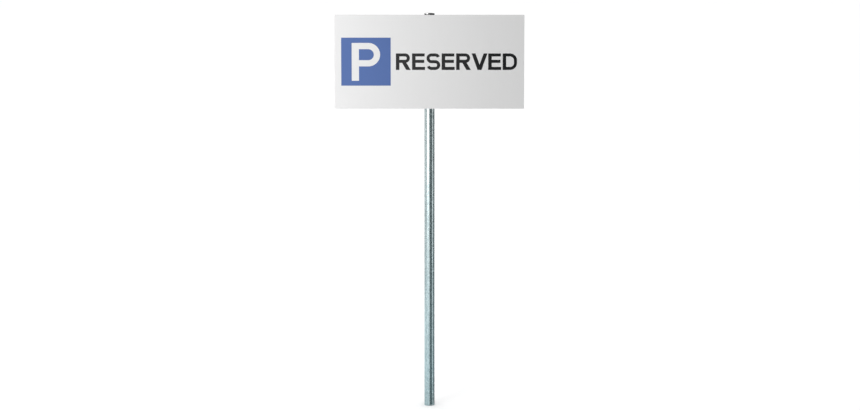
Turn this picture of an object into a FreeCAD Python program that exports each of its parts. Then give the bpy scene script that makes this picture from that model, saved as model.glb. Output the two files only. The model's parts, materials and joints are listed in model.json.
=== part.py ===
import FreeCAD, Part
import math
import os

import Sketcher
from FreeCAD import Placement, Rotation, Vector

# A flat sign on a round steel post.
#
# The post is a galvanised tube with a plastic cap pressed into its top end.  The sign is a
# sandwich panel with two slotted aluminium rails taped to its back.  At each rail a two-piece
# clamp with a rubber liner grips the post, and its bolts' heads sit in the rail's slot.
#
# Millimetres.  Z runs up the post, X runs along the sign and the sign faces -Y.
# The origin is the centre of the post's lower end, the foot that is set in the ground.

DRIVING_DIMENSIONS = [
    ("PostDiameter", 60.0, "outside diameter of the tube"),
    ("PostWall", 2.0, "wall of the tube"),
    ("PostLength", 2334.0, "length of the tube above the ground"),
    ("PostChamfer", 0.4, "broken edge at both ends of the tube"),
    ("CapCrown", 8.5, "height of the cap above the tube, rim and dome"),
    ("CapDomeRadius", 180.0, "radius of the dome"),
    ("CapPlugRadius", 27.2, "outside radius of the cap's plug"),
    ("CapPlugDepth", 22.0, "length of the plug inside the tube"),
    ("CapPlugWall", 2.4, "wall of the plug"),
    ("CapFinRadius", 27.95, "outside radius of the gripping fins"),
    ("CapFinThickness", 1.2, "thickness of a fin"),
    ("CapFinSpacing", 4.4, "distance from one fin to the next"),
    ("PanelWidth", 1100.0, "width of the sign"),
    ("PanelHeight", 550.0, "height of the sign"),
    ("PanelBottom", 1790.0, "height of the sign's lower edge above the foot"),
    ("PanelCorner", 3.0, "corner radius of the sign"),
    ("SkinThickness", 0.3, "aluminium skin on each side of the core"),
    ("CoreThickness", 2.4, "plastic core of the panel"),
    ("FilmThickness", 0.2, "white film over the whole face"),
    ("PrintThickness", 0.1, "cut film of a symbol or letter"),
    ("SquareWidth", 287.5, "width of the blue square"),
    ("SquareHeight", 282.0, "height of the blue square"),
    ("SquareLeft", 37.5, "from the sign's left edge to the square"),
    ("SquareTop", 132.5, "from the sign's top edge to the square"),
    ("SymbolLeft", 61.0, "from the square's left edge to the symbol"),
    ("SymbolTop", 31.0, "from the square's top edge to the symbol"),
    ("SymbolHeight", 222.0, "height of the symbol"),
    ("SymbolWidth", 165.0, "width of the symbol"),
    ("SymbolBowl", 137.5, "height of the symbol's bowl"),
    ("SymbolStem", 42.0, "upright stroke of the symbol"),
    ("SymbolBar", 36.5, "curved and level strokes of the symbol"),
    ("LegendLeft", 355.0, "from the sign's left edge to the first letter"),
    ("LegendTop", 225.0, "from the sign's top edge to the letters"),
    ("LegendHeight", 97.0, "height of a capital letter"),
    ("LegendStem", 20.5, "upright stroke of a letter"),
    ("LegendBar", 18.0, "level stroke of a letter"),
    ("LegendGap", 8.4, "usual gap between two letters"),
    ("RailLength", 1000.0, "length of a rail"),
    ("RailSpacing", 300.0, "height from one rail to the other"),
    ("RailWidth", 40.0, "width of the rail's base flange"),
    ("RailDepth", 14.0, "depth of the rail, base to lips"),
    ("RailBase", 2.0, "thickness of the base flange"),
    ("RailStandoff", 38.0, "from the post's axis to the rail's lips"),
    ("ChannelWidth", 19.0, "outside width of the rail's channel"),
    ("ChannelWall", 2.5, "wall and lips of the channel"),
    ("SlotWidth", 9.0, "slot between the lips"),
    ("TapeWidth", 36.0, "width of the bonding tape"),
    ("TapeThickness", 1.1, "thickness of the bonding tape"),
    ("PlugPlate", 1.5, "end plate of a rail plug"),
    ("PlugTongue", 12.0, "tongue of a rail plug inside the channel"),
    ("PlugClearance", 0.1, "gap around the tongue"),
    ("FitClearance", 0.1, "radial gap of the liner on the post and of the clamp on the liner"),
    ("FaceClearance", 0.05, "gap between faces that slide on each other"),
    ("LinerOuterRadius", 32.0, "outside radius of the rubber liner"),
    ("LinerHeight", 34.0, "height of the rubber liner"),
    ("LinerSlit", 3.0, "gap between the liner's two ends"),
    ("ClampHeight", 30.0, "height of a clamp"),
    ("ClampWidth", 116.0, "width of a clamp across its ears"),
    ("ClampArcWall", 4.0, "wall of the clamp round the post"),
    ("ClampPlate", 4.5, "thickness of the ears and of the saddle's base"),
    ("ClampGap", 8.0, "gap between the ears of the two halves"),
    ("BoltSpacing", 92.0, "from one bolt of a clamp to the other"),
    ("BoltDiameter", 8.0, "nominal diameter of a bolt"),
    ("BoltHole", 9.0, "diameter of the holes in the clamps"),
    ("BoltLength", 60.0, "length of a bolt under its head"),
    ("BoltHeadHeight", 5.3, "height of a bolt's head"),
    ("BoltTip", 1.2, "bevel at the bolt's end"),
    ("HexAcrossFlats", 13.0, "width of a bolt's head and of a nut"),
    ("HexSphereRadius", 7.7, "radius of the ball that takes the corners off a nut"),
    ("WasherRadius", 8.0, "outside radius of a washer"),
    ("WasherThickness", 1.6, "thickness of a washer"),
    ("NutHeight", 8.0, "height of a lock nut"),
    ("ThreadClearance", 0.05, "radial gap of a nut on its bolt"),
]

LEGEND_WORD = "RESERVED"
LEVELS = {"lower": -1, "upper": 1}
SIDES = {"left": -1, "right": 1}

document = FreeCAD.newDocument("Signpost")
sheet = document.addObject("Spreadsheet::Sheet", "Dimensions")
subparts = []


# ---------------------------------------------------------------- helpers

def fill_sheet():
    """One row for each driving dimension: what it is, its value and its alias."""
    for row, (alias, value, meaning) in enumerate(DRIVING_DIMENSIONS, start=1):
        sheet.set(f"A{row}", meaning)
        sheet.set(f"B{row}", str(value))
        sheet.setAlias(f"B{row}", alias)
    document.recompute()


def size(alias):
    """The value of one driving dimension, for shapes that code makes."""
    return float(sheet.get(alias))


def cell(alias):
    """The same dimension as a term of an expression."""
    return f"Dimensions.{alias}"


def minus(expression):
    return f"-({expression})"


def half(alias):
    return f"Dimensions.{alias} / 2"


def keep(item, label):
    """Name a finished sub-part and put it on the list of files to write."""
    item.Label = label
    subparts.append(item)
    return item


def box(name, x, y, z):
    """A box between a low and a high expression on each axis."""
    item = document.addObject("Part::Box", name)
    for axis, side, (low, high) in zip("xyz", ("Length", "Width", "Height"), (x, y, z)):
        item.setExpression(side, f"({high}) - ({low})")
        item.setExpression(f"Placement.Base.{axis}", low)
    return item


def upright_cylinder(name, radius, z):
    """A cylinder round the post's axis between two heights."""
    item = document.addObject("Part::Cylinder", name)
    item.setExpression("Radius", radius)
    item.setExpression("Height", f"({z[1]}) - ({z[0]})")
    item.setExpression("Placement.Base.z", z[0])
    return item


def face_along_y(item, x, y, z):
    """Turn a primitive from its own Z to +Y and stand its base at a point."""
    item.Placement = Placement(Vector(), Rotation(Vector(1, 0, 0), -90))
    for axis, expression in zip("xyz", (x, y, z)):
        item.setExpression(f"Placement.Base.{axis}", expression)
    return item


def level_cylinder(name, radius, x, y, z):
    """A cylinder along Y between two depths, its axis through x and z."""
    item = document.addObject("Part::Cylinder", name)
    item.setExpression("Radius", radius)
    item.setExpression("Height", f"({y[1]}) - ({y[0]})")
    return face_along_y(item, x, y[0], z)


def level_cone(name, radii, x, y, z):
    """A cone along Y with a radius at each of two depths."""
    item = document.addObject("Part::Cone", name)
    item.setExpression("Radius1", radii[0])
    item.setExpression("Radius2", radii[1])
    item.setExpression("Height", f"({y[1]}) - ({y[0]})")
    return face_along_y(item, x, y[0], z)


def fuse(name, items):
    item = document.addObject("Part::MultiFuse", name)
    item.Shapes = items
    item.Refine = True
    return item


def common(name, items):
    item = document.addObject("Part::MultiCommon", name)
    item.Shapes = items
    item.Refine = True
    return item


def cut(name, base, tool):
    item = document.addObject("Part::Cut", name)
    item.Base = base
    item.Tool = tool
    item.Refine = True
    return item


def group(name, items):
    item = document.addObject("Part::Compound", name)
    item.Links = items
    return item


def new_body(name, base_plane):
    """A body with one empty sketch on one of its own origin planes."""
    body = document.addObject("PartDesign::Body", name)
    sketch = body.newObject("Sketcher::SketchObject", f"{name}Outline")
    plane = next(item for item in body.Origin.OriginFeatures if item.Role == base_plane)
    sketch.AttachmentSupport = [(plane, "")]
    sketch.MapMode = "FlatFace"
    return body, sketch


def bind(sketch, constraint, expression):
    """Add a constraint and tie its value to an expression."""
    index = sketch.addConstraint(constraint)
    name = f"Bound{index}"
    sketch.renameConstraint(index, name)
    sketch.setExpression(f"Constraints.{name}", expression)


def draw_circles(sketch, radii):
    """Circles round the sketch's origin."""
    for radius in radii:
        value = float(sketch.evalExpression(radius))
        circle = sketch.addGeometry(Part.Circle(Vector(), Vector(0, 0, 1), value))
        sketch.addConstraint(Sketcher.Constraint("Coincident", circle, 3, -1, 1))
        bind(sketch, Sketcher.Constraint("Radius", circle, value), radius)


def draw_outline(sketch, corners):
    """A closed outline of straight lines whose corners are pairs of expressions."""
    points = [Vector(*(float(sketch.evalExpression(term)) for term in corner)) for corner in corners]
    for start, end in zip(points, points[1:] + points[:1]):
        sketch.addGeometry(Part.LineSegment(start, end))
    for line, (point, corner) in enumerate(zip(points, corners)):
        following = (line + 1) % len(corners)
        sketch.addConstraint(Sketcher.Constraint("Coincident", line, 2, following, 1))
        bind(sketch, Sketcher.Constraint("DistanceX", -1, 1, line, 1, point.x), corner[0])
        bind(sketch, Sketcher.Constraint("DistanceY", -1, 1, line, 1, point.y), corner[1])


def pad(body, sketch, length, symmetric=False):
    feature = body.newObject("PartDesign::Pad", f"{body.Name}Pad")
    feature.Profile = sketch
    feature.Midplane = symmetric
    feature.setExpression("Length", length)
    document.recompute()
    return feature


def dress_edges(body, kind, amount_property, amount, wanted):
    """Fillet or chamfer the edges of a body's last feature that a test picks out."""
    base = body.Tip
    names = [f"Edge{n}" for n, edge in enumerate(base.Shape.Edges, start=1) if wanted(edge)]
    feature = body.newObject(f"PartDesign::{kind}", f"{body.Name}{kind}")
    feature.Base = (base, names)
    feature.setExpression(amount_property, amount)
    document.recompute()
    return feature


# ---------------------------------------------------------------- post and cap

def make_post():
    """The tube, with the sharp edge taken off both ends."""
    body, sketch = new_body("PostTube", "XY_Plane")
    outer = half("PostDiameter")
    draw_circles(sketch, [outer, f"{outer} - {cell('PostWall')}"])
    pad(body, sketch, cell("PostLength"))
    outer_radius = size("PostDiameter") / 2

    def is_outer_end(edge):
        return edge.Curve.TypeId == "Part::GeomCircle" and abs(edge.Curve.Radius - outer_radius) < 1e-6

    dress_edges(body, "Chamfer", "Size", cell("PostChamfer"), is_outer_end)
    keep(body, "post_tube")


def make_cap():
    """A shallow dome on a hollow plug whose thin fins grip the inside of the tube."""
    rim = cell("PostLength")
    top = f"{rim} + {cell('CapCrown')}"
    plug_end = f"{rim} - {cell('CapPlugDepth')}"
    disc = upright_cylinder("CapDisc", half("PostDiameter"), (rim, top))
    ball = document.addObject("Part::Sphere", "CapBall")
    ball.setExpression("Radius", cell("CapDomeRadius"))
    ball.setExpression("Placement.Base.z", f"{top} - {cell('CapDomeRadius')}")
    pieces = [common("CapDome", [disc, ball])]
    pieces.append(upright_cylinder("CapPlug", cell("CapPlugRadius"), (plug_end, rim)))
    for number in range(1, 5):
        low = f"{rim} - {number} * {cell('CapFinSpacing')}"
        high = f"{low} + {cell('CapFinThickness')}"
        pieces.append(upright_cylinder(f"CapFin{number}", cell("CapFinRadius"), (low, high)))
    inner_radius = f"{cell('CapPlugRadius')} - {cell('CapPlugWall')}"
    hollow = upright_cylinder("CapHollow", inner_radius, (plug_end, rim))
    keep(cut("Cap", fuse("CapWhole", pieces), hollow), "post_cap")


# ---------------------------------------------------------------- sign panel

def layer_faces():
    """The depth of each face of the sign's layers, from the rail's base to the letters."""
    layers = ["RailDepth", "TapeThickness", "SkinThickness", "CoreThickness", "SkinThickness",
              "FilmThickness", "PrintThickness", "PrintThickness"]
    names = ["rail", "tape", "rear_skin", "core", "front_skin", "film", "print", "overprint"]
    depth = f"-{cell('RailStandoff')}"
    faces = {"lips": depth}
    for name, layer in zip(names, layers):
        depth = f"{depth} - {cell(layer)}"
        faces[name] = depth
    return faces


def make_sheet_layer(name, label, thickness, back_face):
    """One layer of the panel: a plate with small round corners, its back at back_face."""
    body, sketch = new_body(name, "XZ_Plane")
    left = minus(half("PanelWidth"))
    bottom = cell("PanelBottom")
    top = f"{bottom} + {cell('PanelHeight')}"
    right = half("PanelWidth")
    draw_outline(sketch, [(left, bottom), (right, bottom), (right, top), (left, top)])
    pad(body, sketch, cell(thickness))
    plate_thickness = size(thickness)

    def is_corner(edge):
        span = edge.Vertexes[0].Point - edge.Vertexes[-1].Point
        return abs(abs(span.y) - plate_thickness) < 1e-6 and abs(span.x) + abs(span.z) < 1e-6

    dress_edges(body, "Fillet", "Radius", cell("PanelCorner"), is_corner)
    body.setExpression("Placement.Base.y", back_face)
    keep(body, label)


def make_panel(faces):
    make_sheet_layer("RearSkin", "panel_rear_skin", "SkinThickness", faces["tape"])
    make_sheet_layer("Core", "panel_core", "CoreThickness", faces["rear_skin"])
    make_sheet_layer("FrontSkin", "panel_front_skin", "SkinThickness", faces["core"])
    make_sheet_layer("FaceFilm", "face_film", "FilmThickness", faces["front_skin"])


def make_square(faces):
    """The blue square behind the parking symbol."""
    left = f"{minus(half('PanelWidth'))} + {cell('SquareLeft')}"
    top = f"{cell('PanelBottom')} + {cell('PanelHeight')} - {cell('SquareTop')}"
    square = box("Square", (left, f"{left} + {cell('SquareWidth')}"), (faces["print"], faces["film"]),
                 (f"{top} - {cell('SquareHeight')}", top))
    keep(square, "parking_square")


# ---------------------------------------------------------------- letters
# A letter is made lying in its own X and Z with its lower left corner at the origin.  Its
# strokes are bars, bends and slants, and they are as thick as the cut film, towards -Y.

def bar(left, right, bottom, top):
    """A straight upright or level stroke."""
    return Part.makeBox(right - left, size("PrintThickness"), top - bottom,
                        Vector(left, -size("PrintThickness"), bottom))


def slant(points):
    """A stroke with straight sloping sides."""
    corners = [Vector(x, 0, z) for x, z in points]
    outline = Part.Face(Part.makePolygon(corners + corners[:1]))
    return outline.extrude(Vector(0, -size("PrintThickness"), 0))


def bend(x, z, outer, width, start, sweep):
    """A curved stroke: part of a ring round (x, z), in degrees from +X towards +Z."""
    def at(radius, share):
        angle = math.radians(start + sweep * share)
        return Vector(x + radius * math.cos(angle), 0, z + radius * math.sin(angle))

    inner = outer - width
    edges = [
        Part.Arc(at(outer, 0), at(outer, 0.5), at(outer, 1)).toShape(),
        Part.LineSegment(at(outer, 1), at(inner, 1)).toShape(),
        Part.Arc(at(inner, 1), at(inner, 0.5), at(inner, 0)).toShape(),
        Part.LineSegment(at(inner, 0), at(outer, 0)).toShape(),
    ]
    return Part.Face(Part.Wire(edges)).extrude(Vector(0, -size("PrintThickness"), 0))


def joined(strokes):
    """One solid of all the strokes of a letter."""
    return strokes[0].multiFuse(strokes[1:]).removeSplitter().Solids[0]


def stem_and_bowl(width, height, bowl, stem, level):
    """The strokes of a P: an upright with a closed bowl at its upper right."""
    turn = bowl / 2
    centre = width - turn
    return [
        bar(0, stem, 0, height),
        bar(0, centre, height - level, height),
        bar(0, centre, height - bowl, height - bowl + level),
        bend(centre, height - turn, turn, level, -90, 180),
    ]


def strokes_r(width, height, stem, level):
    bowl = 0.57 * height
    leg_width = 1.25 * stem
    leg_top = height - bowl + level / 2
    leg_start = 0.36 * width
    leg = [(leg_start, leg_top), (leg_start + leg_width, leg_top), (width, 0), (width - leg_width, 0)]
    return stem_and_bowl(0.95 * width, height, bowl, stem, level) + [slant(leg)]


def strokes_e(width, height, stem, level):
    middle = (height - level) / 2 + 0.02 * height
    lengths = {0: width, middle: 0.94 * width, height - level: 0.97 * width}
    levels = [bar(0, length, bottom, bottom + level) for bottom, length in lengths.items()]
    return [bar(0, stem, 0, height)] + levels


def strokes_s(width, height, stem, level):
    turn = (height + level) / 4
    left, right = turn, width - turn
    low, high = turn, height - turn
    terminal = 22
    return [
        bend(right, high, turn, level, terminal, 90 - terminal),
        bar(left, right, height - level, height),
        bend(left, high, turn, level, 90, 180),
        bar(left, right, (height - level) / 2, (height + level) / 2),
        bend(right, low, turn, level, -90, 180),
        bar(left, right, 0, level),
        bend(left, low, turn, level, 180 + terminal, 90 - terminal),
    ]


def strokes_v(width, height, stem, level):
    top = 1.1 * stem
    foot = (width - top) / 2
    notch = height - (width / 2 - top) * height / foot
    return [slant([(0, height), (top, height), (width / 2, notch), (width - top, height),
                   (width, height), (width - foot, 0), (foot, 0)])]


def strokes_d(width, height, stem, level):
    turn = 0.42 * height
    side = width - turn
    return [
        bar(0, stem, 0, height),
        bar(0, side, 0, level),
        bar(0, side, height - level, height),
        bend(side, height - turn, turn, level, 0, 90),
        bend(side, turn, turn, level, -90, 90),
        bar(width - level, width, turn, height - turn),
    ]


LETTERS = {
    "R": (strokes_r, 0.88),
    "E": (strokes_e, 0.78),
    "S": (strokes_s, 0.82),
    "V": (strokes_v, 0.95),
    "D": (strokes_d, 0.86),
}


def make_symbol(faces):
    """The white parking symbol on the blue square."""
    strokes = stem_and_bowl(size("SymbolWidth"), size("SymbolHeight"), size("SymbolBowl"),
                            size("SymbolStem"), size("SymbolBar"))
    symbol = document.addObject("Part::Feature", "Symbol")
    symbol.Shape = joined(strokes)
    left = size("SquareLeft") + size("SymbolLeft") - size("PanelWidth") / 2
    top = size("PanelBottom") + size("PanelHeight") - size("SquareTop") - size("SymbolTop")
    depth = sheet.evalExpression(faces["print"])
    symbol.Placement.Base = Vector(left, depth, top - size("SymbolHeight"))
    keep(symbol, "parking_letter")


def make_legend(faces):
    """The row of black capitals, one solid each.  A V's sloping sides tuck in closer."""
    height = size("LegendHeight")
    letters = []
    x = 0
    for place, name in enumerate(LEGEND_WORD):
        draw, ratio = LETTERS[name]
        width = ratio * height
        letter = joined(draw(width, height, size("LegendStem"), size("LegendBar")))
        letter.translate(Vector(x, 0, 0))
        letters.append(letter)
        tucked = "V" in LEGEND_WORD[place:place + 2]
        x += width + size("LegendGap") * (0.5 if tucked else 1)
    legend = document.addObject("Part::Feature", "Legend")
    legend.Shape = Part.makeCompound(letters)
    top = size("PanelBottom") + size("PanelHeight") - size("LegendTop")
    depth = sheet.evalExpression(faces["film"])
    legend.Placement.Base = Vector(size("LegendLeft") - size("PanelWidth") / 2, depth, top - height)
    keep(legend, "legend_letters")


# ---------------------------------------------------------------- rails

def level_height(direction):
    """The height of the upper or lower rail and clamp."""
    centre = f"{cell('PanelBottom')} + {half('PanelHeight')}"
    return f"{centre} + {direction} * {half('RailSpacing')}"


def rail_section():
    """Corners of the rail's section, as depth behind its lips and height, lips at zero."""
    back = f"-{cell('RailDepth')}"
    floor = f"{back} + {cell('RailBase')}"
    flange = half("RailWidth")
    outside = half("ChannelWidth")
    inside = f"{outside} - {cell('ChannelWall')}"
    lip = f"-{cell('ChannelWall')}"
    slot = half("SlotWidth")
    above = [(back, flange), (floor, flange), (floor, outside), ("0", outside), ("0", slot),
             (lip, slot), (lip, inside), (floor, inside)]
    below = [(depth, minus(height)) for depth, height in reversed(above)]
    return above + below


def make_rail(level, height, faces):
    body, sketch = new_body(f"Rail{level.title()}", "YZ_Plane")
    draw_outline(sketch, rail_section())
    pad(body, sketch, cell("RailLength"), symmetric=True)
    body.setExpression("Placement.Base.y", faces["lips"])
    body.setExpression("Placement.Base.z", height)
    keep(body, f"rail_{level}")


def make_tape(level, height, faces):
    """The foam tape that bonds a rail to the panel."""
    side = half("RailLength")
    width = half("TapeWidth")
    tape = box(f"Tape{level.title()}", (minus(side), side), (faces["tape"], faces["rail"]),
               (f"{height} - {width}", f"{height} + {width}"))
    keep(tape, f"rail_tape_{level}")


def make_rail_plug(level, side, height, faces):
    """A plastic plug: an end plate as wide as the rail, and a tongue in its channel."""
    name = f"RailPlug{level.title()}{side.title()}"
    sign = SIDES[side]
    end = half("RailLength")
    outer = f"{end} + {cell('PlugPlate')}"
    inner = f"{end} - {cell('PlugTongue')}"
    gap = cell("PlugClearance")
    floor = f"{faces['rail']} + {cell('RailBase')}"
    channel = half("ChannelWidth")
    hollow = f"{channel} - {cell('ChannelWall')} - {gap}"

    def along(low, high):
        return (low, high) if sign > 0 else (minus(high), minus(low))

    def around(width):
        return f"{height} - ({width})", f"{height} + ({width})"

    flange_plate = box(f"{name}Flange", along(end, outer), (faces["rail"], floor),
                       around(half("RailWidth")))
    channel_plate = box(f"{name}Channel", along(end, outer), (floor, faces["lips"]), around(channel))
    tongue = box(f"{name}Tongue", along(inner, end),
                 (f"{floor} + {gap}", f"{faces['lips']} - {cell('ChannelWall')} - {gap}"),
                 around(hollow))
    keep(fuse(name, [flange_plate, channel_plate, tongue]), f"rail_plug_{level}_{side}")


# ---------------------------------------------------------------- clamps

def clamp_heights(height):
    return f"{height} - {half('ClampHeight')}", f"{height} + {half('ClampHeight')}"


def bolt_places():
    """The X of each bolt of a clamp."""
    return {side: f"{sign} * {half('BoltSpacing')}" for side, sign in SIDES.items()}


def make_liner(level, height):
    """A rubber band round the post, open at one side."""
    name = f"Liner{level.title()}"
    top = half("LinerHeight")
    heights = (f"{height} - {top}", f"{height} + {top}")
    slit = half("LinerSlit")
    outer = upright_cylinder(f"{name}Outer", cell("LinerOuterRadius"), heights)
    inner = upright_cylinder(f"{name}Inner", f"{half('PostDiameter')} + {cell('FitClearance')}", heights)
    gap = box(f"{name}Slit", ("0", f"{cell('LinerOuterRadius')} + {cell('FitClearance')}"),
              (minus(slit), slit), heights)
    keep(cut(name, cut(f"{name}Ring", outer, inner), gap), f"liner_{level}")


def clamp_bore_and_holes(name, height):
    """What is taken out of a clamp half: the liner's bore and both bolt holes."""
    bore = upright_cylinder(f"{name}Bore", f"{cell('LinerOuterRadius')} + {cell('FitClearance')}",
                            clamp_heights(height))
    reach = cell("RailStandoff")
    holes = [level_cylinder(f"{name}Hole{side.title()}", half("BoltHole"), x,
                            (minus(reach), reach), height)
             for side, x in bolt_places().items()]
    return fuse(f"{name}Cutters", [bore] + holes)


def make_saddle(level, height):
    """The front half: an arc on a flat base, with ears and side walls round two chambers."""
    name = f"Saddle{level.title()}"
    heights = clamp_heights(height)
    side = half("ClampWidth")
    plate = cell("ClampPlate")
    base = f"-{cell('RailStandoff')} + {cell('FaceClearance')}"
    mouth = minus(half("ClampGap"))
    width = (minus(side), side)
    arc = upright_cylinder(f"{name}Arc", f"{cell('LinerOuterRadius')} + {cell('ClampArcWall')}", heights)
    solids = [
        common(f"{name}HalfArc", [arc, box(f"{name}Half", width, (base, mouth), heights)]),
        box(f"{name}Base", width, (base, f"{base} + {plate}"), heights),
        box(f"{name}Ears", width, (f"{mouth} - {plate}", mouth), heights),
        box(f"{name}WallLeft", (minus(side), f"-{side} + {cell('ClampArcWall')}"), (base, mouth), heights),
        box(f"{name}WallRight", (f"{side} - {cell('ClampArcWall')}", side), (base, mouth), heights),
    ]
    solid = cut(name, fuse(f"{name}Whole", solids), clamp_bore_and_holes(name, height))
    keep(solid, f"clamp_front_{level}")


def make_strap(level, height):
    """The rear half: an arc with an ear at each end."""
    name = f"Strap{level.title()}"
    heights = clamp_heights(height)
    side = half("ClampWidth")
    mouth = half("ClampGap")
    radius = f"{cell('LinerOuterRadius')} + {cell('ClampArcWall')}"
    width = (minus(side), side)
    arc = upright_cylinder(f"{name}Arc", radius, heights)
    solids = [
        common(f"{name}HalfArc", [arc, box(f"{name}Half", width, (mouth, radius), heights)]),
        box(f"{name}Ears", width, (mouth, f"{mouth} + {cell('ClampPlate')}"), heights),
    ]
    solid = cut(name, fuse(f"{name}Whole", solids), clamp_bore_and_holes(name, height))
    keep(solid, f"clamp_rear_{level}")


# ---------------------------------------------------------------- fasteners

def hexagon(name, x, y, z):
    """A six-sided block along Y, two of its flats level."""
    item = document.addObject("Part::Prism", name)
    item.Polygon = 6
    item.setExpression("Circumradius", f"{half('HexAcrossFlats')} / cos(30 deg)")
    item.setExpression("Height", f"({y[1]}) - ({y[0]})")
    return face_along_y(item, x, y[0], z)


def eased_hexagon(name, x, y, z):
    """A hexagon whose sharp corners a ball takes off at both ends."""
    block = hexagon(f"{name}Block", x, y, z)
    ball = document.addObject("Part::Sphere", f"{name}Ball")
    ball.setExpression("Radius", cell("HexSphereRadius"))
    face_along_y(ball, x, f"(({y[0]}) + ({y[1]})) / 2", z)
    return common(f"{name}Eased", [block, ball])


def fastener_faces():
    """Depths along a bolt: under its head, its end, and each face of the washer and nut."""
    seat = f"-{cell('RailStandoff')} - {cell('ChannelWall')} - {cell('FaceClearance')}"
    ear = f"{half('ClampGap')} + {cell('ClampPlate')}"
    return {
        "head": f"{seat} - {cell('BoltHeadHeight')}",
        "seat": seat,
        "end": f"{seat} + {cell('BoltLength')}",
        "ear": ear,
        "washer": f"{ear} + {cell('WasherThickness')}",
        "nut": f"{ear} + {cell('WasherThickness')} + {cell('NutHeight')}",
    }


def make_bolt(name, x, z):
    """A hexagon bolt whose head sits in the rail's channel."""
    depth = fastener_faces()
    radius = half("BoltDiameter")
    bevel = f"{depth['end']} - {cell('BoltTip')}"
    tip_radius = f"{radius} - {cell('BoltTip')} / 2"
    return fuse(name, [
        eased_hexagon(f"{name}Head", x, (depth["head"], depth["seat"]), z),
        level_cylinder(f"{name}Shank", radius, x, (depth["seat"], bevel), z),
        level_cone(f"{name}Tip", (radius, tip_radius), x, (bevel, depth["end"]), z),
    ])


def make_washer(name, x, z):
    depth = fastener_faces()
    faces = (depth["ear"], depth["washer"])
    disc = level_cylinder(f"{name}Disc", cell("WasherRadius"), x, faces, z)
    hole = level_cylinder(f"{name}Hole", half("BoltHole"), x, faces, z)
    return cut(name, disc, hole)


def make_nut(name, x, z):
    depth = fastener_faces()
    faces = (depth["washer"], depth["nut"])
    block = eased_hexagon(name, x, faces, z)
    radius = f"{half('BoltDiameter')} + {cell('ThreadClearance')}"
    return cut(f"{name}Nut", block, level_cylinder(f"{name}Bore", radius, x, faces, z))


def make_fasteners():
    """Two bolts with washers and nuts in each clamp, alike ones kept together."""
    kinds = {"clamp_bolts": make_bolt, "clamp_washers": make_washer, "clamp_nuts": make_nut}
    for label, make in kinds.items():
        items = []
        for level, direction in LEVELS.items():
            for side, x in bolt_places().items():
                name = label.title().replace("_", "") + level.title() + side.title()
                items.append(make(name, x, level_height(direction)))
        keep(group(label.title().replace("_", ""), items), label)


# ---------------------------------------------------------------- the whole sign

def build():
    fill_sheet()
    faces = layer_faces()
    make_post()
    make_cap()
    make_panel(faces)
    make_square(faces)
    make_symbol(faces)
    make_legend(faces)
    for level, direction in LEVELS.items():
        height = level_height(direction)
        make_rail(level, height, faces)
        make_tape(level, height, faces)
        for side in SIDES:
            make_rail_plug(level, side, height, faces)
        make_liner(level, height)
        make_saddle(level, height)
        make_strap(level, height)
    make_fasteners()
    document.recompute()


def check():
    """Stop before writing anything if an object failed or a sub-part has no sound shape."""
    for item in document.Objects:
        if "Invalid" in item.State or "Error" in item.State:
            raise RuntimeError(f"{item.Name} is {item.State}")
    for item in subparts:
        if item.Shape.isNull() or not item.Shape.isValid() or not item.Shape.Solids:
            raise RuntimeError(f"{item.Label} has no sound shape")


def write():
    os.makedirs("parts", exist_ok=True)
    for item in subparts:
        item.Shape.exportStep(f"parts/{item.Label}.step")


build()
check()
write()
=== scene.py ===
import json
import math

import bmesh
import bpy
from mathutils import Matrix, Vector

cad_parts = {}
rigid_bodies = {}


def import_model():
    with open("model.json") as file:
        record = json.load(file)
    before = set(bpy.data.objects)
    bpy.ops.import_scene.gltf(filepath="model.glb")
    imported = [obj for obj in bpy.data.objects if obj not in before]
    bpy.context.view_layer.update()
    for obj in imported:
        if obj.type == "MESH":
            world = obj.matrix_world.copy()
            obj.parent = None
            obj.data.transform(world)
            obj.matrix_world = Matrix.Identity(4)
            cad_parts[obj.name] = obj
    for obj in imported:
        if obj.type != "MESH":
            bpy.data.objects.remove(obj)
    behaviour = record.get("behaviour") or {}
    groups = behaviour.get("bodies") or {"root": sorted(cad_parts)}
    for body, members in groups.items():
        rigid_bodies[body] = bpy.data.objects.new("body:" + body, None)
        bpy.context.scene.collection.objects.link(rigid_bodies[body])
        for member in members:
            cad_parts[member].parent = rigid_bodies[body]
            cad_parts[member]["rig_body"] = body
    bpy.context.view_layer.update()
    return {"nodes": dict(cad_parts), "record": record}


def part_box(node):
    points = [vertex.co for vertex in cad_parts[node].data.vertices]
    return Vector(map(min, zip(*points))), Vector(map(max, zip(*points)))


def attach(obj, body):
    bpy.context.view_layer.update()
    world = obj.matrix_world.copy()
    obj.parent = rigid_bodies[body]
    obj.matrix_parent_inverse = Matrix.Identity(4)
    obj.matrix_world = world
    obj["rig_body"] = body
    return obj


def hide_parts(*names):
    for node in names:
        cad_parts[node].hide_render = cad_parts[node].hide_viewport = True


# The looks of a parking sign on a galvanised post, built round its CAD frame.
# Metres.  Z is up, the sign faces -Y, and the origin is the foot of the post.
# Colours are linear.  A texture's scale is in features per metre.

MM = 0.001

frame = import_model()
NODES = frame["nodes"]
SLOTS = {part["node"]: part["material_slot"] for part in frame["record"]["subparts"]}
LEVELS = ("upper", "lower")
SIDES = ("left", "right")

# From a lathe's own Z to the object's +Y, the way the clamps' bolts point.
ALONG_BOLT = Matrix.Rotation(math.radians(-90), 4, "X")


# ---------------------------------------------------------------- material graphs

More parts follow.
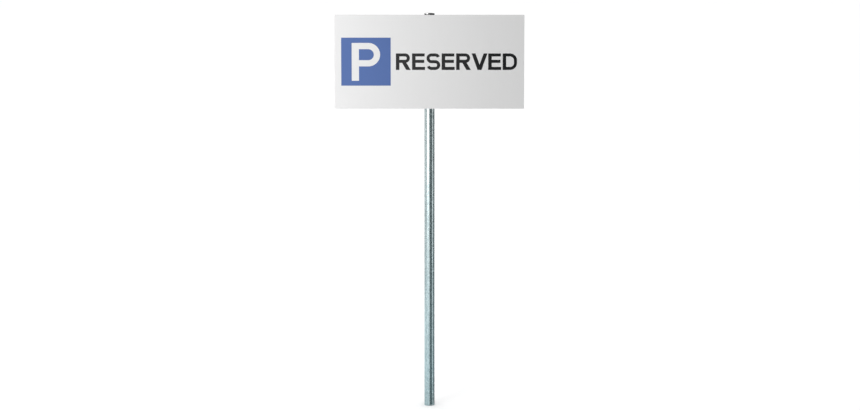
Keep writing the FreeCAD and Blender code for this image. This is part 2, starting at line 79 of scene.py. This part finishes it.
class Graph:
    """The node tree of one material, with a principled shader at its end."""

    def __init__(self, name, **shader):
        self.material = bpy.data.materials.new(name)
        self.material.use_nodes = True
        self.tree = self.material.node_tree
        self.tree.nodes.clear()
        output = self.add("ShaderNodeOutputMaterial")
        self.shader = self.add("ShaderNodeBsdfPrincipled")
        self.tree.links.new(self.shader.outputs["BSDF"], output.inputs["Surface"])
        self.place = self.add("ShaderNodeTexCoord").outputs["Object"]
        for socket, value in shader.items():
            self.shader.inputs[socket.replace("_", " ")].default_value = value

    def add(self, kind, **settings):
        node = self.tree.nodes.new(kind)
        for name, value in settings.items():
            setattr(node, name, value)
        return node

    def feed(self, socket, value):
        """Link an output to a socket, or set the socket to a plain value."""
        if isinstance(value, bpy.types.NodeSocket):
            self.tree.links.new(value, socket)
        else:
            socket.default_value = value

    def stretch(self, scale):
        """The piece's own coordinates, scaled on each axis."""
        node = self.add("ShaderNodeMapping")
        self.feed(node.inputs["Vector"], self.place)
        node.inputs["Scale"].default_value = scale
        return node.outputs["Vector"]

    def noise(self, scale, detail=4.0, rough=0.55, where=None):
        node = self.add("ShaderNodeTexNoise")
        self.feed(node.inputs["Vector"], where or self.place)
        node.inputs["Scale"].default_value = scale
        node.inputs["Detail"].default_value = detail
        node.inputs["Roughness"].default_value = rough
        return node.outputs["Fac"]

    def lines(self, scale, detail=3.0):
        """Long lines: noise stretched by a different scale on each axis."""
        return self.noise(1.0, detail, 0.65, self.stretch(scale))

    def cells(self, scale, where=None, output="Color"):
        node = self.add("ShaderNodeTexVoronoi")
        self.feed(node.inputs["Vector"], where or self.place)
        node.inputs["Scale"].default_value = scale
        return node.outputs[output]

    def calc(self, operation, first, second=0.0):
        node = self.add("ShaderNodeMath", operation=operation)
        self.feed(node.inputs[0], first)
        self.feed(node.inputs[1], second)
        return node.outputs[0]

    def span(self, value, low, high, to_low=0.0, to_high=1.0):
        """Spread a value's range onto another, clamped."""
        node = self.add("ShaderNodeMapRange")
        for name, amount in (("Value", value), ("From Min", low), ("From Max", high),
                             ("To Min", to_low), ("To Max", to_high)):
            self.feed(node.inputs[name], amount)
        return node.outputs["Result"]

    def mix(self, share, first, second):
        node = self.add("ShaderNodeMix", data_type="RGBA")
        self.feed(node.inputs["Factor"], share)
        colours = [socket for socket in node.inputs if socket.type == "RGBA"]
        for socket, colour in zip(colours, (first, second)):
            self.feed(socket, colour if isinstance(colour, bpy.types.NodeSocket) else (*colour, 1))
        return next(socket for socket in node.outputs if socket.type == "RGBA")

    def axis(self, name):
        node = self.add("ShaderNodeSeparateXYZ")
        self.feed(node.inputs[0], self.place)
        return node.outputs[name]

    def facing(self, name):
        """How squarely a face looks along an axis, from 0 to 1."""
        node = self.add("ShaderNodeSeparateXYZ")
        self.feed(node.inputs[0], self.add("ShaderNodeNewGeometry").outputs["True Normal"])
        return self.calc("ABSOLUTE", node.outputs[name])

    def edges(self, low, high):
        """Worn corners, from 0 to 1, by how far the surface points outwards."""
        pointed = self.add("ShaderNodeNewGeometry").outputs["Pointiness"]
        return self.span(pointed, low, high)

    def bump(self, *layers):
        """Stack height fields, each (height, strength, depth in metres), into one normal."""
        normal = None
        for height, strength, depth in layers:
            node = self.add("ShaderNodeBump")
            node.inputs["Strength"].default_value = strength
            node.inputs["Distance"].default_value = depth
            self.feed(node.inputs["Height"], height)
            if normal is not None:
                self.feed(node.inputs["Normal"], normal)
            normal = node.outputs["Normal"]
        self.feed(self.shader.inputs["Normal"], normal)

    def colour(self, value):
        self.feed(self.shader.inputs["Base Color"], value)

    def roughness(self, value):
        self.feed(self.shader.inputs["Roughness"], value)


# ---------------------------------------------------------------- materials

# Each material's main colour, then the one that wear, dust or grain brings it towards.
COLOURS = {
    "white_film": ((0.80, 0.80, 0.80), (0.70, 0.70, 0.69)),
    "white_print": ((0.80, 0.80, 0.80), (0.72, 0.72, 0.71)),
    "blue_film": ((0.071, 0.142, 0.383), (0.095, 0.165, 0.40)),
    "black_film": ((0.006, 0.006, 0.007), (0.02, 0.02, 0.02)),
    "panel_skin": ((0.68, 0.69, 0.70), (0.65, 0.66, 0.67)),
    "core_plastic": ((0.030, 0.030, 0.032), (0.075, 0.075, 0.078)),
    "rail_aluminium": ((0.76, 0.77, 0.78), (0.60, 0.61, 0.63)),
    "clamp_aluminium": ((0.72, 0.73, 0.74), (0.54, 0.55, 0.56)),
    "zinc_fasteners": ((0.74, 0.76, 0.79), (0.76, 0.73, 0.62)),
    "cap_plastic": ((0.012, 0.012, 0.014), (0.04, 0.04, 0.042)),
    "plug_plastic": ((0.018, 0.018, 0.019), (0.06, 0.06, 0.06)),
    "nut_nylon": ((0.030, 0.085, 0.300), (0.10, 0.16, 0.36)),
    "liner_rubber": ((0.014, 0.014, 0.014), (0.060, 0.058, 0.055)),
    "foam_tape": ((0.020, 0.020, 0.021), (0.075, 0.075, 0.078)),
}


def galvanised_steel():
    """Hot-dip zinc: fine spangle, streaks down the tube, greyer and bluer towards the ground."""
    bright_zinc = (0.80, 0.87, 0.87)
    bright_near_ground = (0.50, 0.66, 0.70)
    dull_zinc = (0.48, 0.56, 0.56)
    dull_near_ground = (0.25, 0.39, 0.43)
    streak_grey = (0.34, 0.43, 0.45)
    pale_stain = (0.60, 0.70, 0.69)
    soil = (0.20, 0.21, 0.19)
    # Below this height the zinc's colour turns steadily darker and bluer towards the ground.
    darker_below = 1.9
    splashed_below = 0.22
    g = Graph("galvanised_steel", Metallic=1.0)
    spangle = g.cells(190.0, g.stretch((1.0, 1.0, 0.5)))
    grain = g.noise(110.0, 5.0, 0.6)
    streak = g.lines((75.0, 75.0, 3.2), 6.0)
    blotch = g.noise(16.0, 3.0, 0.5, g.stretch((1.0, 1.0, 0.35)))
    low = g.span(g.axis("Z"), darker_below, 0.0)
    bright = g.mix(low, bright_zinc, bright_near_ground)
    dull = g.mix(low, dull_zinc, dull_near_ground)
    zinc = g.mix(g.span(spangle, 0.15, 0.85, 0.0, 0.7), bright, dull)
    streaked = g.mix(g.span(streak, 0.42, 0.68, 0.0, 0.55), zinc, streak_grey)
    stained = g.mix(g.span(blotch, 0.55, 0.75, 0.0, 0.35), streaked, pale_stain)
    splash = g.calc("MULTIPLY", g.span(g.axis("Z"), splashed_below, 0.0), g.span(grain, 0.35, 0.7))
    g.colour(g.mix(g.calc("MULTIPLY", splash, 0.6), stained, soil))
    mottle = g.span(spangle, 0.0, 1.0, 0.19, 0.34)
    g.roughness(g.calc("ADD", mottle, g.span(grain, 0.3, 0.7, -0.03, 0.08)))
    g.bump((spangle, 0.25, 0.12 * MM), (streak, 0.35, 0.25 * MM), (grain, 0.2, 0.1 * MM))
    return g.material


def film(name, rough=0.30):
    """Smooth film: a little dust, rain marks and a very faint orange peel."""
    g = Graph(name)
    patches = g.span(g.noise(3.0, 3.0), 0.35, 0.7)
    dust = g.calc("MULTIPLY", patches, g.span(g.noise(260.0), 0.5, 0.75))
    rain = g.span(g.lines((40.0, 1.0, 1.2)), 0.45, 0.85)
    marks = g.calc("MAXIMUM", g.calc("MULTIPLY", dust, 0.2), g.calc("MULTIPLY", rain, 0.1))
    g.colour(g.mix(marks, *COLOURS[name]))
    g.roughness(g.span(g.noise(9.0), 0.3, 0.7, rough - 0.02, rough + 0.03))
    g.bump((g.noise(420.0, 2.0), 0.05, 0.05 * MM))
    return g.material


def panel_skin():
    """Coil-coated aluminium: pale lacquer with rolling lines, handling marks and rain streaks."""
    rain_mark = (0.50, 0.51, 0.50)
    hand_mark = (0.48, 0.48, 0.47)
    g = Graph("panel_skin", Metallic=0.08)
    rolling = g.lines((2.0, 1.0, 300.0))
    rain = g.span(g.lines((30.0, 1.0, 1.2), 4.0), 0.54, 0.80)
    smudge = g.span(g.noise(6.0, 5.0, 0.6), 0.52, 0.75)
    clean = g.mix(g.span(rolling, 0.35, 0.7), *COLOURS["panel_skin"])
    rained = g.mix(g.calc("MULTIPLY", rain, 0.35), clean, rain_mark)
    g.colour(g.mix(g.calc("MULTIPLY", smudge, 0.15), rained, hand_mark))
    g.roughness(g.span(smudge, 0.0, 1.0, 0.48, 0.58))
    g.bump((rolling, 0.05, 0.05 * MM), (g.noise(260.0, 3.0), 0.06, 0.08 * MM))
    return g.material


def core_plastic():
    """The black core, seen only at its routed edge."""
    g = Graph("core_plastic")
    cutter = g.noise(1.0, 3.0, 0.6, g.stretch((700.0, 1500.0, 700.0)))
    g.colour(g.mix(g.span(cutter, 0.4, 0.7), *COLOURS["core_plastic"]))
    g.roughness(g.span(cutter, 0.3, 0.7, 0.5, 0.75))
    g.bump((cutter, 0.4, 0.08 * MM))
    return g.material


def drawn_aluminium(name, along):
    """Extruded aluminium: die lines along one axis, saw marks on the faces cut across it."""
    worn_corner = (0.92, 0.92, 0.93)
    tarnish_share = 0.62
    fine = 950.0
    sawn = 260.0
    coarse = 5.0
    colour, shade = COLOURS[name]
    g = Graph(name, Metallic=1.0)
    die = g.lines(tuple(coarse if axis == along else fine for axis in "XYZ"))
    saw = g.lines(tuple(fine if axis == along else sawn for axis in "XYZ"), 2.0)
    cut = g.span(g.facing(along), 0.85, 0.95)
    marks = g.add("ShaderNodeMix", data_type="FLOAT")
    for socket, value in zip([s for s in marks.inputs if s.type == "VALUE"], (cut, die, saw)):
        g.feed(socket, value)
    height = next(s for s in marks.outputs if s.type == "VALUE")
    tarnish = g.span(g.noise(22.0, 5.0, 0.6), 0.45, 0.75)
    metal = g.mix(g.span(height, 0.35, 0.7), colour, shade)
    tarnished = tuple(tarnish_share * channel for channel in colour)
    dulled = g.mix(g.calc("MULTIPLY", tarnish, 0.35), metal, tarnished)
    g.colour(g.mix(g.calc("MULTIPLY", g.edges(0.52, 0.60), 0.5), dulled, worn_corner))
    g.roughness(g.span(tarnish, 0.0, 1.0, 0.32, 0.46))
    g.bump((height, 0.25, 0.04 * MM), (g.noise(180.0), 0.04, 0.1 * MM))
    return g.material


def zinc_plate():
    """Bright zinc plate with the faint yellow and blue of its passivation."""
    dull_grey = (0.46, 0.47, 0.48)
    g = Graph("zinc_fasteners", Metallic=1.0)
    tint = g.noise(130.0, 3.0)
    warm = g.mix(g.span(tint, 0.45, 0.7), *COLOURS["zinc_fasteners"])
    dull = g.span(g.noise(420.0, 4.0, 0.65), 0.5, 0.8)
    g.colour(g.mix(g.calc("MULTIPLY", dull, 0.4), warm, dull_grey))
    g.roughness(g.span(dull, 0.0, 1.0, 0.20, 0.42))
    g.bump((g.noise(700.0, 3.0), 0.15, 0.05 * MM))
    return g.material


def moulded(name, rough, grain):
    """Moulded plastic: fine grain, scuffs, and edges that have gone a little pale."""
    g = Graph(name)
    scuff = g.span(g.noise(55.0, 6.0, 0.65), 0.55, 0.75)
    worn = g.calc("MAXIMUM", g.calc("MULTIPLY", scuff, 0.5), g.edges(0.53, 0.62))
    g.colour(g.mix(worn, *COLOURS[name]))
    g.roughness(g.span(scuff, 0.0, 1.0, rough, rough + 0.16))
    g.bump((g.noise(grain, 3.0), 0.15, 0.08 * MM), (g.noise(45.0, 3.0), 0.05, 0.3 * MM))
    return g.material


def liner_rubber():
    """Black rubber with bloom and dust in its grain."""
    g = Graph("liner_rubber")
    bloom = g.span(g.noise(60.0, 6.0, 0.7), 0.45, 0.75)
    g.colour(g.mix(g.calc("MULTIPLY", bloom, 0.7), *COLOURS["liner_rubber"]))
    g.roughness(g.span(bloom, 0.0, 1.0, 0.55, 0.85))
    g.bump((g.noise(1100.0, 3.0), 0.25, 0.08 * MM))
    return g.material


def foam_tape():
    """Grey closed-cell foam; its cut edge shows the cells."""
    g = Graph("foam_tape", Roughness=0.9)
    cells = g.cells(1700.0, output="Distance")
    g.colour(g.mix(g.span(cells, 0.1, 0.7), *COLOURS["foam_tape"]))
    g.bump((cells, 0.6, 0.2 * MM))
    return g.material


def make_materials():
    """One material for each slot of the record, and the nylon of the lock nuts."""
    return {
        "galvanised_steel": galvanised_steel(),
        "white_film": film("white_film"),
        "white_print": film("white_print"),
        "blue_film": film("blue_film"),
        "black_film": film("black_film", rough=0.26),
        "cap_plastic": moulded("cap_plastic", rough=0.14, grain=500.0),
        "core_plastic": core_plastic(),
        "panel_skin": panel_skin(),
        "rail_aluminium": drawn_aluminium("rail_aluminium", along="X"),
        "foam_tape": foam_tape(),
        "plug_plastic": moulded("plug_plastic", rough=0.42, grain=900.0),
        "liner_rubber": liner_rubber(),
        "clamp_aluminium": drawn_aluminium("clamp_aluminium", along="Z"),
        "zinc_fasteners": zinc_plate(),
        "nut_nylon": moulded("nut_nylon", rough=0.38, grain=800.0),
    }


MATERIALS = make_materials()


def dress_nodes():
    """Give every CAD node its slot's material."""
    for name, node in NODES.items():
        node.data.materials.clear()
        node.data.materials.append(MATERIALS[SLOTS[name]])


# ---------------------------------------------------------------- shapes

SAME_POINT = 0.001 * MM
SAME_PLANE = math.radians(0.3)
SHARP_EDGE = math.radians(30.0)
BEVEL_STEPS = 3


def new_piece(name, shape, slot, body, replaced, material=None, crease=35.0):
    """Turn a finished bmesh into a piece that rides on a body and stands for CAD nodes."""
    bmesh.ops.recalc_face_normals(shape, faces=shape.faces)
    mesh = bpy.data.meshes.new(name)
    shape.to_mesh(mesh)
    shape.free()
    for face in mesh.polygons:
        face.use_smooth = True
    mesh.set_sharp_from_angle(angle=math.radians(crease))
    mesh.materials.append(MATERIALS[material or slot])
    piece = bpy.data.objects.new(name, mesh)
    bpy.context.scene.collection.objects.link(piece)
    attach(piece, body)
    if replaced:
        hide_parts(*replaced)
    return piece


def level_ring(radius, height):
    """A plain round ring of a turned solid."""
    return lambda angle: (radius, height)


def level_rings(profile):
    """The rings of a turned solid, from the radius and height of each point of its profile."""
    return [level_ring(*point) for point in profile]


def add_rings(shape, rings, steps, place=Matrix(), hollow=False):
    """Add a solid made of rings round Z; each ring gives its radius and height at an angle.
    A hollow solid closes on itself, as a washer does, and any other has flat ends."""
    rows = []
    for ring in rings:
        row = []
        for step in range(steps):
            angle = math.tau * step / steps
            radius, height = ring(angle)
            point = Vector((radius * math.cos(angle), radius * math.sin(angle), height))
            row.append(shape.verts.new(place @ point))
        rows.append(row)
    pairs = list(zip(rows, rows[1:]))
    if hollow:
        pairs.append((rows[-1], rows[0]))
    for lower, upper in pairs:
        for step in range(steps):
            following = (step + 1) % steps
            shape.faces.new((lower[step], lower[following], upper[following], upper[step]))
    if not hollow:
        shape.faces.new(list(reversed(rows[0])))
        shape.faces.new(rows[-1])


def arc(centre, radius, start, end, steps=6):
    """Points of a round stretch of a profile, in degrees from the first axis."""
    points = []
    for step in range(steps + 1):
        angle = math.radians(start + (end - start) * step / steps)
        points.append((centre[0] + radius * math.cos(angle), centre[1] + radius * math.sin(angle)))
    return points


def round_edges(node_name, width):
    """Stand a copy with eased edges in for a CAD node."""
    shape = bmesh.new()
    shape.from_mesh(NODES[node_name].data)
    bmesh.ops.remove_doubles(shape, verts=shape.verts, dist=SAME_POINT)
    bmesh.ops.dissolve_limit(shape, angle_limit=SAME_PLANE, verts=shape.verts, edges=shape.edges)
    edges = [edge for edge in shape.edges if edge.calc_face_angle(0.0) > SHARP_EDGE]
    bmesh.ops.bevel(shape, geom=edges, offset=width, segments=BEVEL_STEPS, profile=0.5,
                    affect="EDGES", clamp_overlap=True)
    body = NODES[node_name]["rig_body"]
    return new_piece(f"{node_name}.eased", shape, SLOTS[node_name], body, [node_name])


# ---------------------------------------------------------------- post and cap

POST_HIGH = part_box("post_tube")[1]
POST_RADIUS = POST_HIGH.x
POST_WALL = 2.0 * MM
POST_STEPS = 192
CAP_STEPS = 128
CAP_SOFT = 0.7 * MM
DOME_RADIUS = 180.0 * MM


def make_post():
    """The tube, finer than the CAD mesh, with its rolled-in weld seam at the back."""
    seam_at = math.radians(118)
    seam_width = math.radians(4)
    seam_depth = 0.12 * MM
    edge = 0.4 * MM

    def outside(inset, height):
        def ring(angle):
            share = math.exp(-((angle - seam_at) / seam_width) ** 2)
            return POST_RADIUS - inset - seam_depth * share, height
        return ring

    inner = POST_RADIUS - POST_WALL
    top = POST_HIGH.z
    rings = [level_ring(inner, 0.0), level_ring(inner, top), level_ring(inner + edge, top)]
    rings += [outside(x, top - edge + y) for x, y in arc((edge, 0.0), -edge, -90, 0)]
    rings += [outside(x, edge + y) for x, y in arc((edge, 0.0), -edge, 0, 90)]
    shape = bmesh.new()
    add_rings(shape, rings, POST_STEPS, hollow=True)
    new_piece("post", shape, "galvanised_steel", "post", ["post_tube"])


def plug_profile(foot, rim, centre):
    """The hollow plug: its ceiling and inside, then up its outside over the fins."""
    plug = 27.2 * MM
    wall = 2.4 * MM
    fin = 27.95 * MM
    fins = 4
    fin_step = 4.4 * MM
    fin_thickness = 1.2 * MM
    edge_from = 0.4 * fin_thickness
    edge_to = 0.7 * fin_thickness
    inner = plug - wall
    profile = [(centre, rim), (inner, rim), (inner, foot)]
    profile += [(plug - CAP_SOFT / 2, foot), (plug, foot + CAP_SOFT)]
    for number in reversed(range(1, fins + 1)):
        base = rim - number * fin_step
        profile += [(plug, base), (fin, base + edge_from)]
        profile += [(fin, base + edge_to), (plug, base + fin_thickness)]
    return profile + [(plug, rim)]


def crown_profile(radius, rim, top, centre):
    """The crown: soft rim, shallow dome, and the small dimple that its moulding leaves."""
    under_edge = 0.25 * MM
    rim_turn = 84
    dome_shares = (0.9, 0.8, 0.65, 0.5, 0.35, 0.2, 0.1, 0.05)
    dimple_mouth = 2.2 * MM
    dimple_floor = 1.9 * MM
    dimple_ease = 0.05 * MM
    dimple_depth = 0.3 * MM

    def dome(reach):
        return top - DOME_RADIUS + math.sqrt(DOME_RADIUS ** 2 - reach ** 2)

    shoulder = radius - CAP_SOFT
    profile = [(radius - under_edge, rim), (radius, rim + under_edge)]
    profile += arc((shoulder, dome(shoulder) - CAP_SOFT), CAP_SOFT, 0, rim_turn)
    profile += [(radius * share, dome(radius * share)) for share in dome_shares]
    profile += [(dimple_mouth, top - dimple_ease), (dimple_floor, top - dimple_depth)]
    return profile + [(centre, top - dimple_depth)]


def make_cap():
    """The cap: a hollow finned plug under a domed crown."""
    low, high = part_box("post_cap")
    rim = POST_HIGH.z
    centre = 0.3 * MM
    profile = plug_profile(low.z, rim, centre) + crown_profile(high.x, rim, high.z, centre)
    shape = bmesh.new()
    add_rings(shape, level_rings(profile), CAP_STEPS)
    new_piece("cap", shape, "cap_plastic", "cap", ["post_cap"])


# ---------------------------------------------------------------- fasteners

THREAD = 8.0 * MM
PITCH = 1.25 * MM
THREAD_DEPTH = 0.61 * PITCH
THREAD_LENGTH = 26.0 * MM
FLATS = 13.0 * MM
HEAD_HEIGHT = 5.3 * MM
WASHER_RADIUS = 8.0 * MM
TURNED_STEPS = 72
THREAD_STEPS = 40
NYLON_STEPS = 48


def bolt_places():
    """The axis of each bolt, by clamp and side, in X and Z."""
    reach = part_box("clamp_washers")[1].x - WASHER_RADIUS
    places = []
    for level in LEVELS:
        low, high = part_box(f"clamp_front_{level}")
        height = (low.z + high.z) / 2
        places += [(-reach, height), (reach, height)]
    return places


def at_bolt(x, y, z):
    """Where a lathe's axis goes so that its solid lies along a bolt."""
    return Matrix.Translation((x, y, z)) @ ALONG_BOLT


def hexagon_radius(angle):
    """The radius of a hexagon with a corner on its first axis."""
    turn = math.radians(60)
    return FLATS / 2 / math.cos((angle % turn) - turn / 2)


def hexagon_rings(low, high, chamfered_low, chamfered_high):
    """Rings of a hexagonal block whose corners a lathe has bevelled by 30 degrees."""
    turned = 0.475 * FLATS
    slope = math.tan(math.radians(30))

    def side(height, direction, chamfered):
        def ring(angle):
            radius = hexagon_radius(angle)
            drop = max(0.0, radius - turned) * slope if chamfered else 0.0
            return radius, height + direction * drop
        return ring

    return [level_ring(turned, low), side(low, 1, chamfered_low), side(high, -1, chamfered_high),
            level_ring(turned, high)]


def make_bolts():
    """Hexagon bolts: turned head, plain shank, then a real thread to the bevelled end."""
    low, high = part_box("clamp_bolts")
    length = high.y - low.y
    plain = length - THREAD_LENGTH
    rows_per_turn = 10
    rows = int((length - plain) / PITCH * rows_per_turn)
    crest_reach = 1.25
    flank = 2.9
    tip = 1.2 * MM
    tip_slope = 0.8

    def thread_ring(height):
        def ring(angle):
            phase = (height / PITCH - angle / math.tau) % 1.0
            crest = min(1.0, max(0.0, crest_reach - abs(phase - 0.5) * flank))
            allowed = THREAD / 2 - max(0.0, height - (length - tip)) * tip_slope
            start = min(1.0, (height - plain) / PITCH)
            radius = THREAD / 2 - THREAD_DEPTH * (1 - crest) * start
            return min(radius, allowed), height
        return ring

    shape = bmesh.new()
    for x, z in bolt_places():
        place = at_bolt(x, low.y, z)
        add_rings(shape, hexagon_rings(0.0, HEAD_HEIGHT, True, False), TURNED_STEPS, place)
        shank = level_rings([(THREAD / 2, HEAD_HEIGHT), (THREAD / 2, plain)])
        shank += [thread_ring(plain + (length - plain) * n / rows) for n in range(1, rows + 1)]
        add_rings(shape, shank, THREAD_STEPS, place)
    new_piece("bolts", shape, "zinc_fasteners", "clamps", ["clamp_bolts"], crease=50.0)


def make_washers():
    """Flat washers, one face stamped round and the other with a small burr."""
    low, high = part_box("clamp_washers")
    thickness = high.y - low.y
    bore = 4.5 * MM
    soft = 0.35 * MM
    burr = 0.1 * MM
    ease = 0.2 * MM
    profile = [(bore + burr, 0.0), (WASHER_RADIUS, 0.0)]
    profile += arc((WASHER_RADIUS - soft, thickness - soft), soft, 0, 90, 4)
    profile += [(bore + ease, thickness), (bore, thickness - ease), (bore, burr)]
    shape = bmesh.new()
    for x, z in bolt_places():
        add_rings(shape, level_rings(profile), TURNED_STEPS, at_bolt(x, low.y, z), hollow=True)
    new_piece("washers", shape, "zinc_fasteners", "clamps", ["clamp_washers"])


def make_nuts():
    """Lock nuts: a chamfered hexagon, a rolled collar, and a nylon ring inside it."""
    low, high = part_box("clamp_nuts")
    full = high.y - low.y
    block = 0.74 * full
    bore = THREAD / 2 + 0.05 * MM
    collar = 0.44 * FLATS
    fillet = 0.3 * MM
    soft = 0.8 * MM
    mouth = 0.33 * FLATS
    lip = 0.5 * MM
    countersink = 0.5 * MM
    nylon_foot = full - 1.9 * MM
    nylon_top = full - lip
    roll = [(collar + fillet, block), (collar, block + fillet)]
    roll += arc((collar - soft, full - soft), soft, 0, 90)
    inside = [(mouth, full), (mouth, nylon_top), (mouth, nylon_foot), (bore, nylon_foot)]
    inside += [(bore, countersink), (bore + countersink, 0.0)]
    steel_rings = hexagon_rings(0.0, block, True, True) + level_rings(roll + inside)
    nylon = [(bore, nylon_foot), (mouth, nylon_foot), (mouth, nylon_top), (bore, nylon_top)]
    steel_shape = bmesh.new()
    nylon_shape = bmesh.new()
    for x, z in bolt_places():
        place = at_bolt(x, low.y, z)
        add_rings(steel_shape, steel_rings, TURNED_STEPS, place, hollow=True)
        add_rings(nylon_shape, level_rings(nylon), NYLON_STEPS, place, hollow=True)
    new_piece("nuts", steel_shape, "zinc_fasteners", "clamps", ["clamp_nuts"])
    new_piece("nut_inserts", nylon_shape, "plug_plastic", "clamps", [], material="nut_nylon")


# ---------------------------------------------------------------- clamps, liners and rails

CLAMP_EDGE = 0.5 * MM
LINER_EDGE = 0.3 * MM
RAIL_EDGE = 0.25 * MM
PLUG_EDGE = 0.4 * MM


def make_eased_pieces():
    """The extruded, cut and moulded pieces, with the edges that their making leaves."""
    for level in LEVELS:
        round_edges(f"clamp_front_{level}", CLAMP_EDGE)
        round_edges(f"clamp_rear_{level}", CLAMP_EDGE)
        round_edges(f"liner_{level}", LINER_EDGE)
        round_edges(f"rail_{level}", RAIL_EDGE)
        for side in SIDES:
            round_edges(f"rail_plug_{level}_{side}", PLUG_EDGE)


# ---------------------------------------------------------------- studio

WHITE = (1.0, 1.0, 1.0, 1.0)
WORLD_LIGHT = 0.12
FLOOR_HALF = 80.0
FLOOR_DROP = 0.5 * MM
CAMERA_DISTANCE = 20.0
CAMERA_ELEVATION = math.radians(11.19)
CAMERA_LENS = 142.65
CAMERA_SENSOR = 36.0
CAMERA_AIM = Vector((0.003, 0.0, 1.2075))

OVERHEAD_POWER = 3.13
OVERHEAD_SPREAD = 50.0

# The key lamp lights the face from the viewer's left; the thin strip behind puts a glint on the cap.
KEY = {"place": (-2.1, -2.95, 2.15), "target": (-2.1, 0, 2.15), "width": 1.3, "height": 3.1,
       "power": 37.8, "spread": 112.0}
REAR_STRIP = {"place": (-0.20, 5.0, 4.2), "target": (0, 0, 2.34), "width": 0.17, "height": 1.2,
              "power": 5.2}

# Each screen's first and last bearing, in degrees from straight ahead of the sign towards +X,
# and its colour.
SCREENS = {
    "dark_front": (5.0, 60.0, (0.11, 0.15, 0.155)),
    "dark_right": (92.0, 140.0, (0.06, 0.09, 0.095)),
    "pale_left": (-140.0, -72.0, (0.85, 0.87, 0.87)),
}
SCREEN_FOOT = 0.045
SCREEN_RADIUS = 2.6
SCREEN_HEIGHT = 3.2
SCREEN_STEPS = 12


def link(name, data):
    """Put a new object into the scene."""
    item = bpy.data.objects.new(name, data)
    bpy.context.scene.collection.objects.link(item)
    return item


def aim(item, place, target):
    """Stand a lamp or camera somewhere and point it at a target."""
    item.location = place
    item.rotation_euler = (Vector(target) - Vector(place)).to_track_quat("-Z", "Y").to_euler()


def make_floor():
    """A wide, matt, nearly white floor just under the foot of the post."""
    pale = (0.92, 0.92, 0.92)
    paler = (0.94, 0.94, 0.94)
    mesh = bpy.data.meshes.new("floor")
    half = FLOOR_HALF
    corners = [(-half, -half), (half, -half), (half, half), (-half, half)]
    mesh.from_pydata([(x, y, -FLOOR_DROP) for x, y in corners], [], [(0, 1, 2, 3)])
    g = Graph("floor", Roughness=0.9)
    g.colour(g.mix(g.noise(0.6), pale, paler))
    mesh.materials.append(g.material)
    link("floor", mesh)


def add_soft_box(name, place, target, width, height, power, spread=180.0):
    """A rectangular lamp; a spread under 180 degrees is a grid on its front."""
    data = bpy.data.lights.new(name, "AREA")
    data.shape = "RECTANGLE"
    data.size = width
    data.size_y = height
    data.energy = power
    data.spread = math.radians(spread)
    light = link(name, data)
    light.visible_camera = False
    aim(light, place, target)


def add_overhead():
    """Very soft light straight down, the same everywhere on the floor."""
    data = bpy.data.lights.new("overhead", "SUN")
    data.energy = OVERHEAD_POWER
    data.angle = math.radians(OVERHEAD_SPREAD)
    link("overhead", data)


def add_screen(name, start, end, colour):
    """A curved screen on the floor that only reflections see, between two bearings."""
    up = Vector((0, 0, SCREEN_HEIGHT))
    points = []
    for step in range(SCREEN_STEPS + 1):
        bearing = math.radians(start + (end - start) * step / SCREEN_STEPS)
        away = Vector((math.sin(bearing), -math.cos(bearing), 0))
        points += [away * SCREEN_FOOT, away * SCREEN_RADIUS, away * SCREEN_RADIUS + up]
    faces = []
    for step in range(SCREEN_STEPS):
        for row in (0, 1):
            corner = 3 * step + row
            faces.append((corner, corner + 3, corner + 4, corner + 1))
    mesh = bpy.data.meshes.new(name)
    mesh.from_pydata(points, [], faces)
    g = Graph(name, Roughness=1.0)
    g.colour((*colour, 1))
    mesh.materials.append(g.material)
    screen = link(name, mesh)
    screen.visible_camera = False
    screen.visible_diffuse = False
    screen.visible_shadow = False


def make_world():
    """Even pale light from all round; the camera itself sees plain white."""
    world = bpy.data.worlds.new("studio")
    bpy.context.scene.world = world
    world.use_nodes = True
    tree = world.node_tree
    light = tree.nodes["Background"]
    light.inputs["Color"].default_value = WHITE
    light.inputs["Strength"].default_value = WORLD_LIGHT
    seen = tree.nodes.new("ShaderNodeBackground")
    seen.inputs["Color"].default_value = WHITE
    rays = tree.nodes.new("ShaderNodeLightPath")
    mixed = tree.nodes.new("ShaderNodeMixShader")
    tree.links.new(rays.outputs["Is Camera Ray"], mixed.inputs["Fac"])
    tree.links.new(light.outputs["Background"], mixed.inputs[1])
    tree.links.new(seen.outputs["Background"], mixed.inputs[2])
    tree.links.new(mixed.outputs["Shader"], tree.nodes["World Output"].inputs["Surface"])


def make_camera():
    """The photograph's view: far off, straight ahead and a little above."""
    data = bpy.data.cameras.new("camera")
    data.lens = CAMERA_LENS
    data.sensor_width = CAMERA_SENSOR
    data.clip_end = 4 * CAMERA_DISTANCE
    camera = link("camera", data)
    back = Vector((0, -math.cos(CAMERA_ELEVATION), math.sin(CAMERA_ELEVATION)))
    aim(camera, CAMERA_AIM + CAMERA_DISTANCE * back, CAMERA_AIM)
    bpy.context.scene.camera = camera


def make_studio():
    """The floor, the lamps, what the tube reflects, and the camera."""
    make_floor()
    make_world()
    make_camera()
    add_overhead()
    add_soft_box("key", **KEY)
    add_soft_box("rear_strip", **REAR_STRIP)
    for name, (start, end, colour) in SCREENS.items():
        add_screen(name, start, end, colour)
    bpy.context.scene.view_settings.view_transform = "Standard"


dress_nodes()
make_post()
make_cap()
make_bolts()
make_washers()
make_nuts()
make_eased_pieces()
make_studio()
